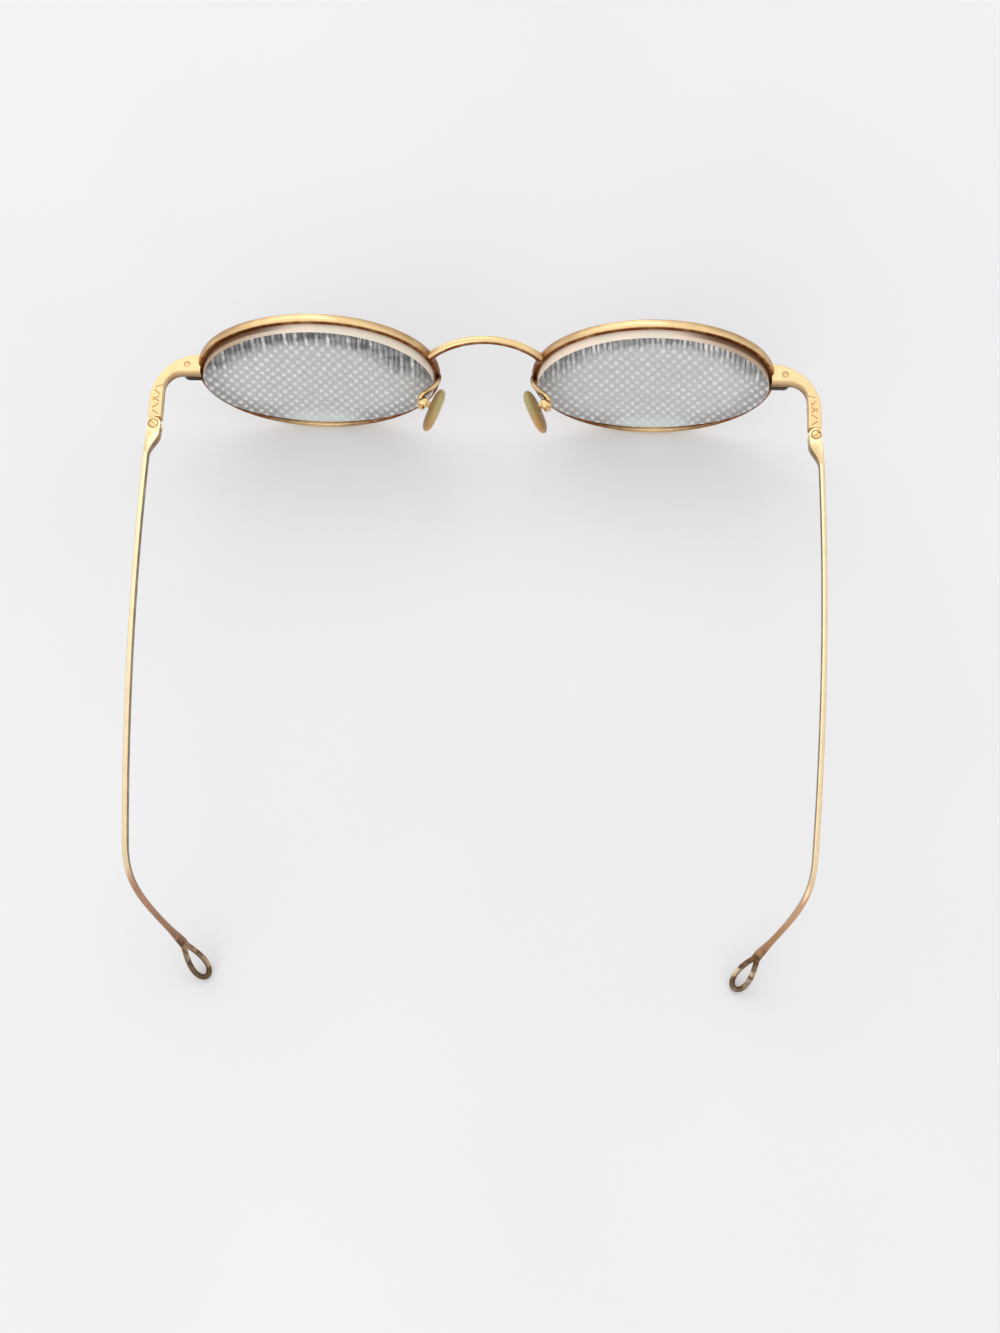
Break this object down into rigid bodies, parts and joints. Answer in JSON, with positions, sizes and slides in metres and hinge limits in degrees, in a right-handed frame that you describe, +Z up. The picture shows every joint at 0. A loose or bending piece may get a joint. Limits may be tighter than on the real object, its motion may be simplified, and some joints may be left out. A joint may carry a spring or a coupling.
{
  "type": "eyeglasses",
  "caption": "Oval wire eyeglasses with folding temples, rocking nose pads on wire arms, a round bridge wire and open eyelet ear tips, standing open.",
  "frame": {"origin": "centre of the bounding box, on the surface that the glasses stand on, temples open", "axes": "+Z up, +Y out of the lenses away from the face, +X to the wearer's right"},
  "size_m": [0.1368, 0.1264, 0.0389],
  "materials": {
    "gold": "polished gold plate",
    "temple": "polished gold plate, browner at the ear",
    "lock": "gold plate in shade",
    "screw": "turned, gold plate",
    "lens": "polished, slightly grey",
    "pad": "translucent olive, aged",
    "insert": "stamped"
  },
  "bodies": {
    "front": {"rim_right": "gold", "rim_left": "gold", "lens_right": "lens", "lens_left": "lens", "bridge": "gold", "end_piece_right": "gold", "end_piece_left": "gold", "lock_block_right": "lock", "lock_block_left": "lock", "lock_screw_right": "screw", "lock_screw_left": "screw", "pad_arm_right": "gold", "pad_arm_left": "gold", "pad_box_right": "gold", "pad_box_left": "gold", "pad_screw_right": "screw", "pad_screw_left": "screw"},
    "temple_right": {"hinge_block_right": "gold", "hinge_screw_right": "screw", "temple_arm_right": "temple"},
    "temple_left": {"hinge_block_left": "gold", "hinge_screw_left": "screw", "temple_arm_left": "temple"},
    "pad_right": {"pad_lug_right": "insert", "nose_pad_right": "pad"},
    "pad_left": {"pad_lug_left": "insert", "nose_pad_left": "pad"}
  },
  "joints": [
    {"name": "temple_right_fold", "type": "hinge", "parent": "front", "child": "temple_right", "pos_m": [0.06691, 0.04547, 0.02221], "axis": [0, 0, -1], "range_deg": [0, 85]},
    {"name": "temple_left_fold", "type": "hinge", "parent": "front", "child": "temple_left", "pos_m": [-0.06691, 0.04547, 0.02221], "axis": [0, 0, 1], "range_deg": [0, 79]},
    {"name": "pad_right_rock", "type": "hinge", "parent": "front", "child": "pad_right", "pos_m": [0.0125, 0.05192, 0.02216], "axis": [-0.2998, 0.9511, -0.0748], "range_deg": [-8, 8]},
    {"name": "pad_left_rock", "type": "hinge", "parent": "front", "child": "pad_left", "pos_m": [-0.0125, 0.05192, 0.02216], "axis": [0.2998, 0.9511, -0.0748], "range_deg": [-8, 8]}
  ]
}
